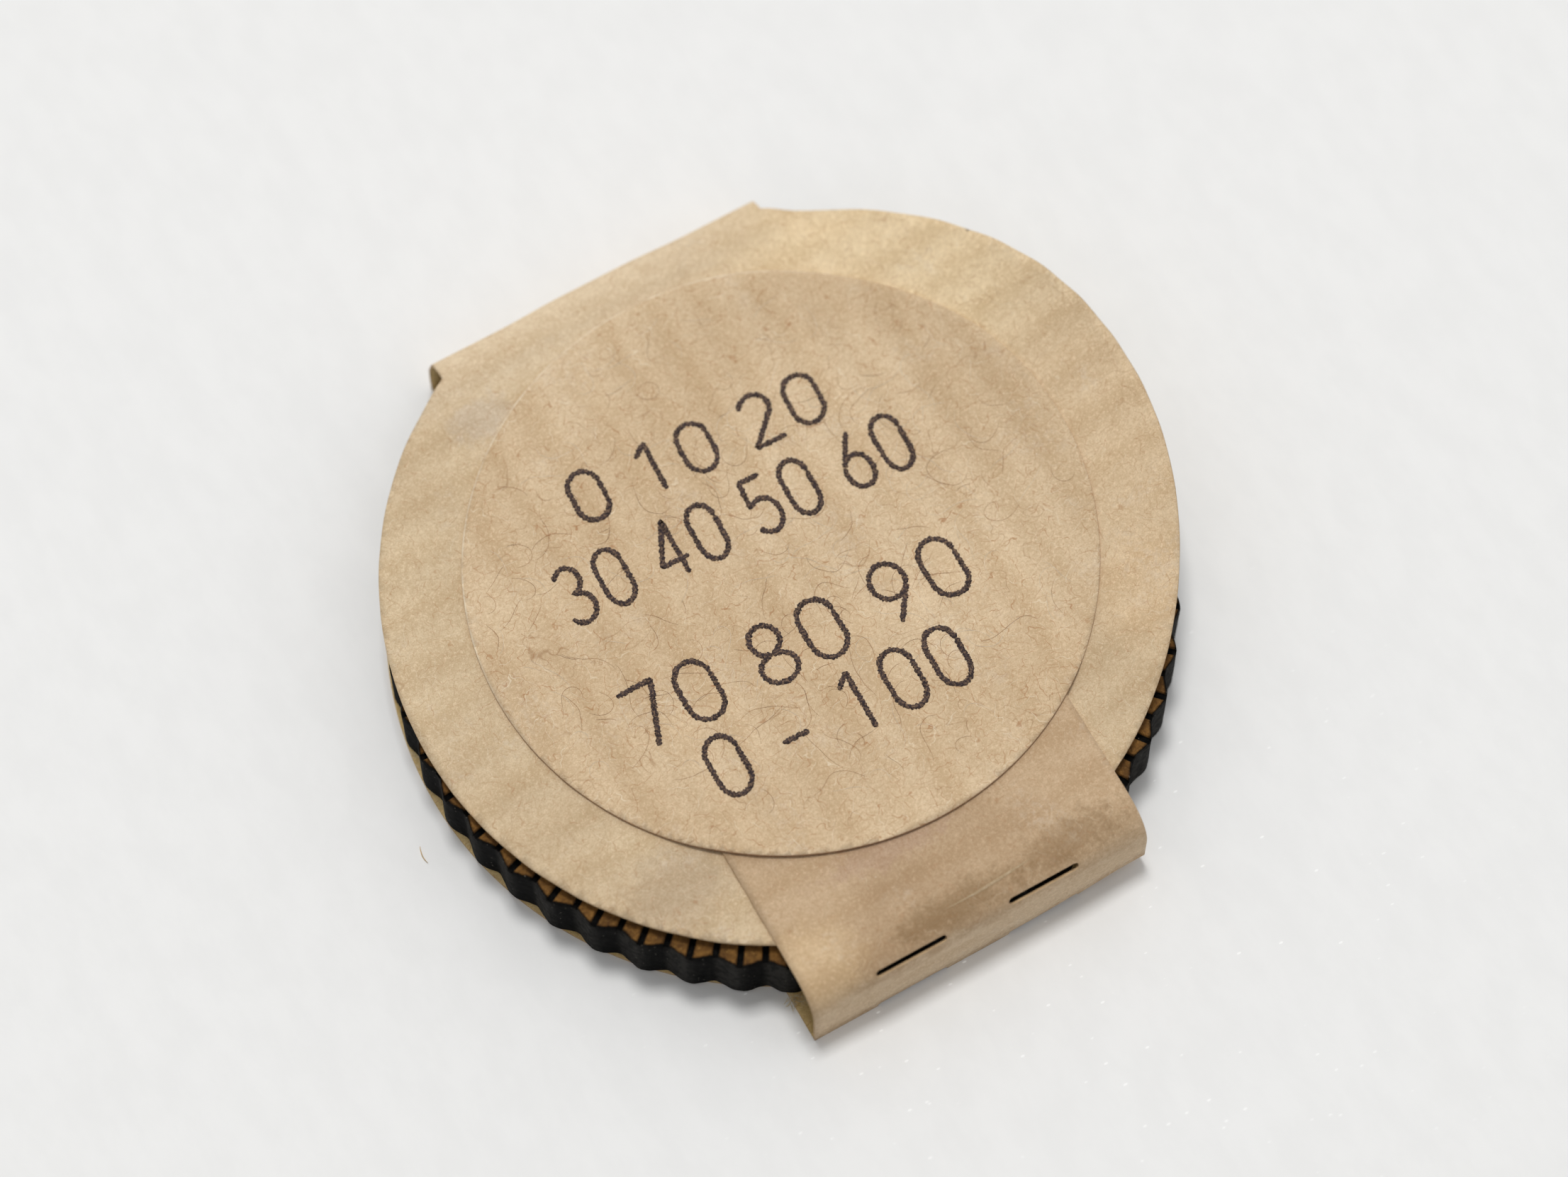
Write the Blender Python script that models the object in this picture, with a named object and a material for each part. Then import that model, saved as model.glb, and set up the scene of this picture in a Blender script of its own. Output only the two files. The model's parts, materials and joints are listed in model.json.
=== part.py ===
"""Measuring wheel, 100 mm round its rim, lying flat in a folded paper sleeve.

The sleeve is one creased sheet: a base disc, a spine at the back, a top disc,
and a tab that rises at the front and turns over onto the top disc, where a
round label holds it down. The wheel has a scalloped rim and one engraved mark
for each millimetre, and turns on a flush eyelet.

Lengths are in millimetres and are scaled to metres when a mesh is made.
Axes: X along the creases, Y from the tab to the spine, Z up. The origin is on
the wheel's axis, on the underside of the base panel.
"""

from math import acos, asin, cos, hypot, pi, radians, sin, tau

import bmesh
import bpy
from mathutils import Vector

MM = 0.001

# Paper sleeve
PAPER = 0.12
DISC_RADIUS = 16.15
STRIP_HALF = 7.6
REAR_CREASE_Y = 16.46
FRONT_CREASE_Y = -16.16
BASE_CENTRE = (-0.06, 0.20)
TOP_CENTRE = (0.33, 0.94)
TOP_LEVEL = 3.60
SPINE_TOP = 2.45
TAB_TOP = 3.22
FLAP_LEVEL = TOP_LEVEL + PAPER + 0.02
FLAP_END_Y = -4.0
FLAP_CORNER = 2.0
CREASE_GAP = 0.09
SLIT_CUT = 0.11
CREASE_PARTS = 5
CIRCLE_STEPS = 96

# The top disc's free edge curls up on the +X side, past the strip
CURL_START = STRIP_HALF
CURL_REACH = 8.9
CURL_RISE = 2.3
CURL_POWER = 1.8
CURL_LINES = [CURL_START, 9.8, 11.6, 13.2, 14.6, CURL_START + CURL_REACH]

# Side views, as (Y, Z), of the two sheets that bend down to their creases
TOP_PROFILE = [(REAR_CREASE_Y, SPINE_TOP), (16.25, 3.20), (15.85, TOP_LEVEL), (-16.0, TOP_LEVEL)]
FLAP_PROFILE = [(FRONT_CREASE_Y, TAB_TOP), (-15.25, FLAP_LEVEL), (0.0, FLAP_LEVEL)]

# Label and the adhesive film under it
LABEL_RADIUS = 12.85
LABEL_CENTRE = (0.52, 0.72)
LABEL_PAPER = 0.09
FILM = 0.02
FILM_GAP = 0.02
STEP_MARGIN = 0.05
STEP_WIDTH = 0.5

# Wheel
RIM_LENGTH = 100.0
MARKS = 100
SCALLOPS = 50
PEAK_TO_VALLEY = 0.30
PEAK_SHARPNESS = 1.25
MEAN_RADIUS = RIM_LENGTH / tau
WHEEL_BOTTOM = PAPER + 0.03
WHEEL_THICKNESS = 3.0
WHEEL_TOP = WHEEL_BOTTOM + WHEEL_THICKNESS
FIRST_PEAK = radians(3.85)
MARK_WIDTH = 0.23
MARK_DEPTH = 0.15
MARK_LENGTH = 1.15
FIVE_LENGTH = 1.85
TEN_LENGTH = 2.60
FACE_RING = 12.5

# Hub eyelet
HUB_STEPS = 50
BORE_RADIUS = 2.08
SEAT_RADIUS = 3.40
SEAT_DEPTH = 0.30
BARREL_OUTER = 2.00
BARREL_INNER = 1.70
FLANGE_RADIUS = 3.30
FLANGE_THICKNESS = 0.20
FLANGE_RECESS = 0.05
LIP_RADIUS = 2.35
LIP_THICKNESS = 0.09
RUNNING_GAP = 0.03


def clear_scene():
    for thing in list(bpy.data.objects):
        bpy.data.objects.remove(thing, do_unlink=True)


def linear(red, green, blue):
    """Colour given as 0-255 display values, as Blender's linear RGBA."""
    channels = [value / 255 for value in (red, green, blue)]
    lit = [c / 12.92 if c <= 0.04045 else ((c + 0.055) / 1.055) ** 2.4 for c in channels]
    return (*lit, 1.0)


def material(name, colour, roughness, metallic=0.0):
    result = bpy.data.materials.new(name)
    result.use_nodes = True
    shader = result.node_tree.nodes["Principled BSDF"]
    shader.inputs["Base Color"].default_value = linear(*colour)
    shader.inputs["Roughness"].default_value = roughness
    shader.inputs["Metallic"].default_value = metallic
    return result


def pivot(name, y, z, parent=None):
    """Empty on a joint's axis; y and z are in the object's own frame."""
    empty = bpy.data.objects.new(name, None)
    empty.empty_display_size = 2 * MM
    empty["axis_point"] = (0.0, y, z)
    bpy.context.collection.objects.link(empty)
    place = Vector((0.0, y, z)) * MM
    if parent:
        empty.parent = parent
        place -= Vector(parent["axis_point"]) * MM
    empty.location = place
    return empty


def add_object(name, bm, finish, parent=None):
    """Turn a mesh drawn in millimetres into an object hung on its pivot."""
    if parent:
        bmesh.ops.translate(bm, verts=bm.verts, vec=-Vector(parent["axis_point"]))
    bmesh.ops.scale(bm, verts=bm.verts, vec=(MM, MM, MM))
    bmesh.ops.recalc_face_normals(bm, faces=bm.faces)
    mesh = bpy.data.meshes.new(name)
    bm.to_mesh(mesh)
    bm.free()
    mesh.materials.append(finish)
    mesh.shade_smooth()
    mesh.set_sharp_from_angle(angle=radians(35))
    result = bpy.data.objects.new(name, mesh)
    bpy.context.collection.objects.link(result)
    result.parent = parent
    return result


def sheet(name, outline, place, cuts, thickness, finish, parent=None):
    """Sheet of even thickness: a flat outline, cut at its bends, then folded.

    place(u, v) gives the middle of the sheet for a point of the outline, and
    each cut is a point and a normal of a line in the flat outline.
    """
    bm = bmesh.new()
    bm.faces.new([bm.verts.new((u, v, 0.0)) for u, v in outline])
    for point, normal in cuts:
        bmesh.ops.bisect_plane(
            bm,
            geom=bm.verts[:] + bm.edges[:] + bm.faces[:],
            dist=0.01,
            plane_co=(*point, 0.0),
            plane_no=(*normal, 0.0),
        )
    for vertex in bm.verts:
        vertex.co = place(vertex.co.x, vertex.co.y)
    result = add_object(name, bm, finish, parent)
    solidify = result.modifiers.new("thickness", "SOLIDIFY")
    solidify.thickness = thickness * MM
    solidify.offset = 0.0
    solidify.use_even_offset = True
    return result


def along(profile, distance):
    """Point (Y, Z) at a distance along a side view, from its first point."""
    for (y0, z0), (y1, z1) in zip(profile, profile[1:]):
        length = hypot(y1 - y0, z1 - z0)
        if distance <= length:
            break
        distance -= length
    share = distance / length
    return y0 + share * (y1 - y0), z0 + share * (z1 - z0)


def bend_distances(profile):
    """Distances along a side view of its inner points."""
    total = 0.0
    result = []
    for (y0, z0), (y1, z1) in zip(profile[:-1], profile[1:-1]):
        total += hypot(y1 - y0, z1 - z0)
        result.append(total)
    return result


def crease_edge(level, inward):
    """Panel edge along a crease, from +X to -X, set back where a slit is cut.

    The crease is five equal lengths, and the second and fourth are slits.
    inward is +1 or -1, the way from the crease into the panel.
    """
    part = 2 * STRIP_HALF / CREASE_PARTS
    points = []
    for index in range(CREASE_PARTS):
        back = CREASE_GAP + (SLIT_CUT if index % 2 else 0.0)
        start = STRIP_HALF - index * part
        points.append((start, level + inward * back))
        points.append((start - part, level + inward * back))
    return points


def arc(centre, start, end, steps):
    x, y = centre
    turns = [start + (end - start) * index / steps for index in range(steps + 1)]
    return [(x + DISC_RADIUS * cos(turn), y + DISC_RADIUS * sin(turn)) for turn in turns]


def meeting_angle(centre_x, side):
    """Angle, above the X axis, where the disc's rim meets a side of the strip."""
    return acos((side - centre_x) / DISC_RADIUS)


def base_outline():
    right = meeting_angle(BASE_CENTRE[0], STRIP_HALF)
    left = meeting_angle(BASE_CENTRE[0], -STRIP_HALF)
    steps = CIRCLE_STEPS // 3
    rear = crease_edge(REAR_CREASE_Y, -1)
    front = crease_edge(FRONT_CREASE_Y, 1)[::-1]
    return (
        rear
        + arc(BASE_CENTRE, left, tau - left, steps)
        + front
        + arc(BASE_CENTRE, -right, right, steps)
    )


def top_outline():
    """Top disc as (X, distance from the rear crease)."""
    x, y = TOP_CENTRE
    last_bend_y = TOP_PROFILE[-2][0]
    centre = (x, bend_distances(TOP_PROFILE)[-1] + last_bend_y - y)
    right = meeting_angle(x, STRIP_HALF)
    left = meeting_angle(x, -STRIP_HALF)
    return crease_edge(0.0, 1)[::-1] + arc(centre, -right, tau - left, CIRCLE_STEPS)


def flap_outline():
    """Tab flap as (X, distance from the front crease), with rounded inner corners."""
    flat = bend_distances(FLAP_PROFILE)[-1]
    length = flat + FLAP_END_Y - FLAP_PROFILE[1][0]
    corner = []
    for index in range(5):
        turn = pi / 2 * index / 4
        corner.append((FLAP_CORNER * (1 - cos(turn)), FLAP_CORNER * (1 - sin(turn))))
    left = [(-STRIP_HALF + inset, length - drop) for inset, drop in corner]
    right = [(STRIP_HALF - inset, length - drop) for inset, drop in corner[::-1]]
    return crease_edge(0.0, 1) + left + right


def crossing_cuts(distances):
    return [((0.0, distance), (0.0, 1.0)) for distance in distances]


def lengthwise_cuts(positions):
    return [((position, 0.0), (1.0, 0.0)) for position in positions]


def curl(x):
    """Height of the curled edge at x, straight between the curl lines."""
    if x <= CURL_START:
        return 0.0
    rises = [CURL_RISE * ((line - CURL_START) / CURL_REACH) ** CURL_POWER for line in CURL_LINES]
    for low, high, start, end in zip(CURL_LINES, CURL_LINES[1:], rises, rises[1:]):
        if x <= high:
            break
    return start + (end - start) * (x - low) / (high - low)


def upright(crease_y, foot):
    """Placing of a panel that stands on a crease at height foot."""
    return lambda x, height: Vector((x, crease_y, foot + height))


def upright_outline(height):
    return crease_edge(height, -1) + crease_edge(0.0, 1)[::-1]


def folded(profile):
    def place(x, distance):
        y, z = along(profile, distance)
        return Vector((x, y, z + curl(x)))

    return place


def over_flap(x, y):
    """1 over the tab flap, 0 away from it, and a ramp between them."""
    start = STRIP_HALF + STEP_MARGIN + STEP_WIDTH
    beside = (start - abs(x)) / STEP_WIDTH
    beyond = (FLAP_END_Y + STEP_MARGIN + STEP_WIDTH - y) / STEP_WIDTH
    return max(0.0, min(1.0, beside, beyond))


def label_layer(name, level, thickness, finish, parent):
    """Round layer that lies on the top disc and steps up over the tab flap."""
    x, y = LABEL_CENTRE
    turns = [tau * index / CIRCLE_STEPS for index in range(CIRCLE_STEPS)]
    outline = [(x + LABEL_RADIUS * cos(turn), y + LABEL_RADIUS * sin(turn)) for turn in turns]
    inner = STRIP_HALF + STEP_MARGIN
    outer = inner + STEP_WIDTH
    end = FLAP_END_Y + STEP_MARGIN
    cuts = crossing_cuts([end, end + STEP_WIDTH])
    cuts += lengthwise_cuts([-outer, -inner, inner, outer] + CURL_LINES)
    rise = FLAP_LEVEL - TOP_LEVEL

    def place(u, v):
        return Vector((u, v, level + rise * over_flap(u, v) + curl(u)))

    return sheet(name, outline, place, cuts, thickness, finish, parent)


def build_sleeve(lid, spine, riser):
    half = PAPER / 2
    sheet(
        "base_panel", base_outline(), lambda x, y: Vector((x, y, half)), [], PAPER,
        material("kraft_base", (205, 176, 132), 0.85),
    )
    sheet(
        "spine_panel", upright_outline(SPINE_TOP - half), upright(REAR_CREASE_Y, half), [],
        PAPER, material("kraft_spine", (176, 158, 122), 0.85), spine,
    )
    sheet(
        "top_panel", top_outline(), folded(TOP_PROFILE),
        crossing_cuts(bend_distances(TOP_PROFILE)) + lengthwise_cuts(CURL_LINES), PAPER,
        material("kraft_top", (204, 180, 147), 0.8), lid,
    )
    sheet(
        "tab_riser", upright_outline(TAB_TOP - half), upright(FRONT_CREASE_Y, half), [],
        PAPER, material("kraft_riser", (160, 145, 122), 0.85), riser,
    )
    sheet(
        "tab_flap", flap_outline(), folded(FLAP_PROFILE),
        crossing_cuts(bend_distances(FLAP_PROFILE)), PAPER,
        material("kraft_flap", (186, 160, 131), 0.8), lid,
    )


def build_label(lid):
    film_level = TOP_LEVEL + PAPER / 2 + FILM_GAP + FILM / 2
    label_level = film_level + FILM / 2 + FILM_GAP + LABEL_PAPER / 2
    label_layer(
        "label_adhesive", film_level, FILM, material("adhesive", (222, 214, 190), 0.35), lid
    )
    label_layer(
        "label_face", label_level, LABEL_PAPER, material("label_paper", (204, 179, 146), 0.75), lid
    )


def rim_radius(angle):
    """Rim of the wheel: rounded valleys between slightly sharper peaks."""
    wave = 0.5 + 0.5 * cos(SCALLOPS * (angle - FIRST_PEAK))
    share = wave**PEAK_SHARPNESS
    return MEAN_RADIUS + PEAK_TO_VALLEY * (share - 0.5)


def mark_length(index):
    if index % 10 == 0:
        return TEN_LENGTH
    if index % 5 == 0:
        return FIVE_LENGTH
    return MARK_LENGTH


class PointBank:
    """Vertices of one mesh, shared wherever two faces name the same place."""

    def __init__(self):
        self.bm = bmesh.new()
        self.known = {}

    def at(self, x, y, z):
        key = (round(x, 6), round(y, 6), round(z, 6))
        if key not in self.known:
            self.known[key] = self.bm.verts.new((x, y, z))
        return self.known[key]

    def polar(self, radius, angle, z):
        return self.at(radius * cos(angle), radius * sin(angle), z)

    def face(self, *corners):
        self.bm.faces.new(corners)


def rim_sector(points, index):
    """The wheel's rim and face for one millimetre, with its engraved mark."""
    step = tau / MARKS
    middle = FIRST_PEAK + index * step
    floor = WHEEL_TOP - MARK_DEPTH
    half = MARK_WIDTH / 2
    outward = Vector((cos(middle), sin(middle), 0.0))
    sideways = Vector((-sin(middle), cos(middle), 0.0))
    reach = rim_radius(middle)
    edge = asin(half / reach)

    def slot(distance, side, z):
        place = outward * distance + sideways * (side * half)
        return points.at(place.x, place.y, z)

    def rim(angle, z):
        return points.polar(rim_radius(angle), angle, z)

    angles = {side: (middle + side * step / 2, middle + side * step * 0.3) for side in (-1, 1)}
    mouth = cos(edge) * rim_radius(middle + edge)
    inner = reach - mark_length(index)
    low = {side: slot(mouth, side, WHEEL_BOTTOM) for side in (-1, 1)}
    sill = {side: slot(mouth, side, floor) for side in (-1, 1)}
    high = {side: slot(mouth, side, WHEEL_TOP) for side in (-1, 1)}
    foot = {side: slot(inner, side, floor) for side in (-1, 1)}
    head = {side: slot(inner, side, WHEEL_TOP) for side in (-1, 1)}
    ring = {side: middle + side * step / 2 for side in (-1, 1)}

    outer, between = angles[-1]
    first = [points.polar(FACE_RING, ring[-1], WHEEL_TOP), rim(outer, WHEEL_TOP), rim(between, WHEEL_TOP)]
    outer, between = angles[1]
    last = [rim(between, WHEEL_TOP), rim(outer, WHEEL_TOP), points.polar(FACE_RING, ring[1], WHEEL_TOP)]
    points.face(*first, high[-1], head[-1], head[1], high[1], *last)

    points.face(foot[-1], sill[-1], sill[1], foot[1])
    points.face(head[-1], foot[-1], foot[1], head[1])
    points.face(low[-1], low[1], sill[1], sill[-1])
    for side in (-1, 1):
        outer, between = angles[side]
        points.face(head[side], high[side], sill[side], foot[side])
        points.face(
            low[side], sill[side], high[side], rim(between, WHEEL_TOP), rim(between, WHEEL_BOTTOM)
        )
        points.face(
            rim(between, WHEEL_BOTTOM), rim(between, WHEEL_TOP), rim(outer, WHEEL_TOP),
            rim(outer, WHEEL_BOTTOM),
        )

    under = [points.polar(FACE_RING, ring[-1], WHEEL_BOTTOM)]
    under += [rim(angle, WHEEL_BOTTOM) for angle in angles[-1]]
    under += [low[-1], low[1]]
    under += [rim(angle, WHEEL_BOTTOM) for angle in angles[1][::-1]]
    under.append(points.polar(FACE_RING, ring[1], WHEEL_BOTTOM))
    points.face(*under)


def wheel_hub_faces(points):
    """The faces inside the ring of marks, the two flange seats and the bore."""
    step = tau / MARKS
    start = FIRST_PEAK - step / 2
    sides = ((WHEEL_TOP, WHEEL_TOP - SEAT_DEPTH), (WHEEL_BOTTOM, WHEEL_BOTTOM + SEAT_DEPTH))
    for index in range(HUB_STEPS):
        here = start + 2 * index * step
        after = here + 2 * step
        for surface, seat in sides:
            points.face(
                points.polar(SEAT_RADIUS, here, surface),
                points.polar(FACE_RING, here, surface),
                points.polar(FACE_RING, here + step, surface),
                points.polar(FACE_RING, after, surface),
                points.polar(SEAT_RADIUS, after, surface),
            )
            rings = ((SEAT_RADIUS, surface), (SEAT_RADIUS, seat), (BORE_RADIUS, seat))
            for (r0, z0), (r1, z1) in zip(rings, rings[1:]):
                points.face(
                    points.polar(r0, here, z0), points.polar(r0, after, z0),
                    points.polar(r1, after, z1), points.polar(r1, here, z1),
                )
        top, bottom = sides[0][1], sides[1][1]
        points.face(
            points.polar(BORE_RADIUS, here, top), points.polar(BORE_RADIUS, after, top),
            points.polar(BORE_RADIUS, after, bottom), points.polar(BORE_RADIUS, here, bottom),
        )


def build_wheel(axle):
    points = PointBank()
    for index in range(MARKS):
        rim_sector(points, index)
    wheel_hub_faces(points)
    add_object("wheel_disc", points.bm, material("fibreboard", (165, 125, 75), 0.7), axle)


def turned(name, profile, finish, parent):
    """Solid of revolution about Z from a closed (radius, Z) outline."""
    bm = bmesh.new()
    verts = [bm.verts.new((radius, 0.0, z)) for radius, z in profile]
    edges = [bm.edges.new((a, b)) for a, b in zip(verts, verts[1:] + verts[:1])]
    bmesh.ops.spin(
        bm, geom=verts + edges, axis=(0, 0, 1), cent=(0, 0, 0), angle=tau, steps=HUB_STEPS,
        use_merge=True,
    )
    bmesh.ops.remove_doubles(bm, verts=bm.verts, dist=0.001)
    return add_object(name, bm, finish, parent)


def build_hub(axle):
    brass = (196, 160, 84)
    flange_top = WHEEL_TOP - FLANGE_RECESS
    lip_bottom = WHEEL_BOTTOM + FLANGE_RECESS
    washer_bottom = lip_bottom + LIP_THICKNESS + 0.01
    washer_top = WHEEL_BOTTOM + SEAT_DEPTH - RUNNING_GAP
    barrel = [
        (BARREL_INNER, lip_bottom),
        (LIP_RADIUS, lip_bottom),
        (LIP_RADIUS, lip_bottom + LIP_THICKNESS),
        (BARREL_OUTER, lip_bottom + LIP_THICKNESS),
        (BARREL_OUTER, flange_top - FLANGE_THICKNESS),
        (FLANGE_RADIUS, flange_top - FLANGE_THICKNESS),
        (FLANGE_RADIUS, flange_top),
        (BARREL_INNER, flange_top),
    ]
    washer = [
        (BARREL_OUTER + 0.01, washer_bottom),
        (FLANGE_RADIUS, washer_bottom),
        (FLANGE_RADIUS, washer_top),
        (BARREL_OUTER + 0.01, washer_top),
    ]
    turned("hub_eyelet", barrel, material("eyelet_brass", brass, 0.3, 1.0), axle)
    turned("hub_washer", washer, material("washer_brass", brass, 0.35, 1.0), axle)


def main():
    clear_scene()
    spine = pivot("spine_crease", REAR_CREASE_Y, PAPER / 2)
    lid = pivot("lid_crease", REAR_CREASE_Y, SPINE_TOP, spine)
    riser = pivot("riser_crease", FRONT_CREASE_Y, PAPER / 2)
    axle = pivot("wheel_axle", 0.0, WHEEL_BOTTOM)
    build_sleeve(lid, spine, riser)
    build_label(lid)
    build_wheel(axle)
    build_hub(axle)


main()
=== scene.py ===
"""Looks of a 100 mm measuring wheel lying in its folded kraft paper sleeve.

The sleeve's panels are separate sheets, each riding on its own body, with
narrow bent fold strips between them, which ride on no body. Shapes are in
millimetres until a mesh is made. A paper point has two places: (u, v) on the
flat blank, which ribs and grain follow, and its place in space once the blank is folded.
"""

import json
from math import acos, atan2, ceil, cos, degrees, exp, hypot, pi, radians, sin, tau
from random import Random

import bmesh
import bpy
from mathutils import Matrix, Vector, noise


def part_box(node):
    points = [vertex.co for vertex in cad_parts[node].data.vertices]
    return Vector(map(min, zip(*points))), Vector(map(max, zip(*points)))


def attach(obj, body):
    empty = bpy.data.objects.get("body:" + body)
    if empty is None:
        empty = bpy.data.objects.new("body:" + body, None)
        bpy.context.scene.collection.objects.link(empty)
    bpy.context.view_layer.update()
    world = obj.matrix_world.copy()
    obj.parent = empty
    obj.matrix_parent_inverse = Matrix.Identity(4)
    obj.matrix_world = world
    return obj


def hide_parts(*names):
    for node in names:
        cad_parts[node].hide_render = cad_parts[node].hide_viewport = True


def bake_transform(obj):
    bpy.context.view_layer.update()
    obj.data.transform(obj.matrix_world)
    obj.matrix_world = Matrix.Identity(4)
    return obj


MM = 0.001
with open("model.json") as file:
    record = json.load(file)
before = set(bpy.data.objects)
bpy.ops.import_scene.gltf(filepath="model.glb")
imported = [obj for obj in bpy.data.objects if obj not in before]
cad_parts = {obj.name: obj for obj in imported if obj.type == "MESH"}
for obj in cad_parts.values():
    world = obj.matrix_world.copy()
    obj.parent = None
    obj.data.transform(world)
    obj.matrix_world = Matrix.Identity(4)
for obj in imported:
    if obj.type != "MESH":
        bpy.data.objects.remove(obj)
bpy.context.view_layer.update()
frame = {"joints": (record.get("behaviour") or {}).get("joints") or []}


def corners(node):
    low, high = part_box(node)
    return low / MM, high / MM


AXIS = {joint["name"]: Vector(joint["pos_m"]) / MM for joint in frame["joints"] if "pos_m" in joint}

# Sleeve, from the frame
REAR_Y = AXIS["spine_crease"].y
FRONT_Y = AXIS["riser_crease"].y
BASE_LEVEL = AXIS["spine_crease"].z
SPINE_TOP = AXIS["lid_crease"].z
PAPER = 2 * BASE_LEVEL
SKEW = 0.013
STRIP_HALF = corners("spine_panel")[1].x
FLAP_LEVEL = corners("tab_flap")[1].z - PAPER / 2
SHEET_GAP = 0.02
TOP_LEVEL = FLAP_LEVEL - PAPER - SHEET_GAP
TAB_TOP = 3.22
FLAP_END_Y = corners("tab_flap")[1].y
FLAP_CORNER = 2
FOLD_REACH = 0.25
FRONT_BEND = 0.1
SLIT_LENGTH = 3.2
SLIT_WIDTH = 0.31
SLIT_CENTRES = (-3.12, 2.9)

base_low, base_high = corners("base_panel")
top_low, top_high = corners("top_panel")
DISC_RADIUS = (base_high.x - base_low.x) / 2
BASE_TRIM = 0.21
BASE_RADIUS = DISC_RADIUS - BASE_TRIM
BASE_CENTRE = ((base_low.x + base_high.x) / 2 - 0.06, 0.44)
TOP_CENTRE = ((top_low.x + top_high.x) / 2, top_low.y + DISC_RADIUS)

# The top disc's free edge curls up on the +X side
CURL_REACH = 8.9
CURL_SHARE = 0.92
CURL_RISE = CURL_SHARE * (top_high.z - PAPER / 2 - TOP_LEVEL)
CURL_POWER = 1.8
TOP_STRETCH = 0.25

# Label
label_low, label_high = corners("label_face")
LABEL_RADIUS = (label_high.y - label_low.y) / 2
LABEL_SHIFT = (0.03, 0.34)
LABEL_CENTRE = (
    (label_low.x + label_high.x) / 2 + LABEL_SHIFT[0], (label_low.y + label_high.y) / 2 + LABEL_SHIFT[1],
)
LABEL_PAPER = 0.08
GLUE_ROOM = 0.04
LABEL_LIFT = PAPER / 2 + GLUE_ROOM + LABEL_PAPER / 2

# Ribs pressed into the paper
RIB_PITCH = 2.15
RIB_START = 0.65
RIB_HEIGHT = 0.045

# Wheel
wheel_low, wheel_high = corners("wheel_disc")
WHEEL_BOTTOM, WHEEL_TOP = wheel_low.z, wheel_high.z
MARKS = 100
SCALLOPS = 50
MEAN_RADIUS = MARKS / tau
FIRST_PEAK = radians(3.85)
PEAK_TO_VALLEY = 0.3
PEAK_SHARPNESS = 0.8
MARK_HALF = 0.13
MARK_DEPTH = 0.15
MARK_LENGTHS = {1: 1.15, 5: 1.85, 10: 2.6}
SEAT_RADIUS = 3.4
SEAT_DEPTH = 0.3
BORE_RADIUS = 2.08
ARRIS = 0.045
FIGURE_HEIGHT = 1.35
FIGURE_BASELINE = 11.45
FIGURE_LIFT = 0.008

# Hub
BARREL_INNER, BARREL_OUTER = 1.7, 2.00
LIP_RADIUS, LIP_THICKNESS = 2.35, 0.09
FLANGE_THICKNESS = 0.2


# ---- node nets

def linear(red, green, blue):
    """Colour given as 0-255 display values, as Blender's linear RGBA."""
    channels = [value / 255 for value in (red, green, blue)]
    lit = [c / 12.92 if c <= 0.04045 else ((c + 0.055) / 1.055) ** 2.4 for c in channels]
    return (*lit, 1)


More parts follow.
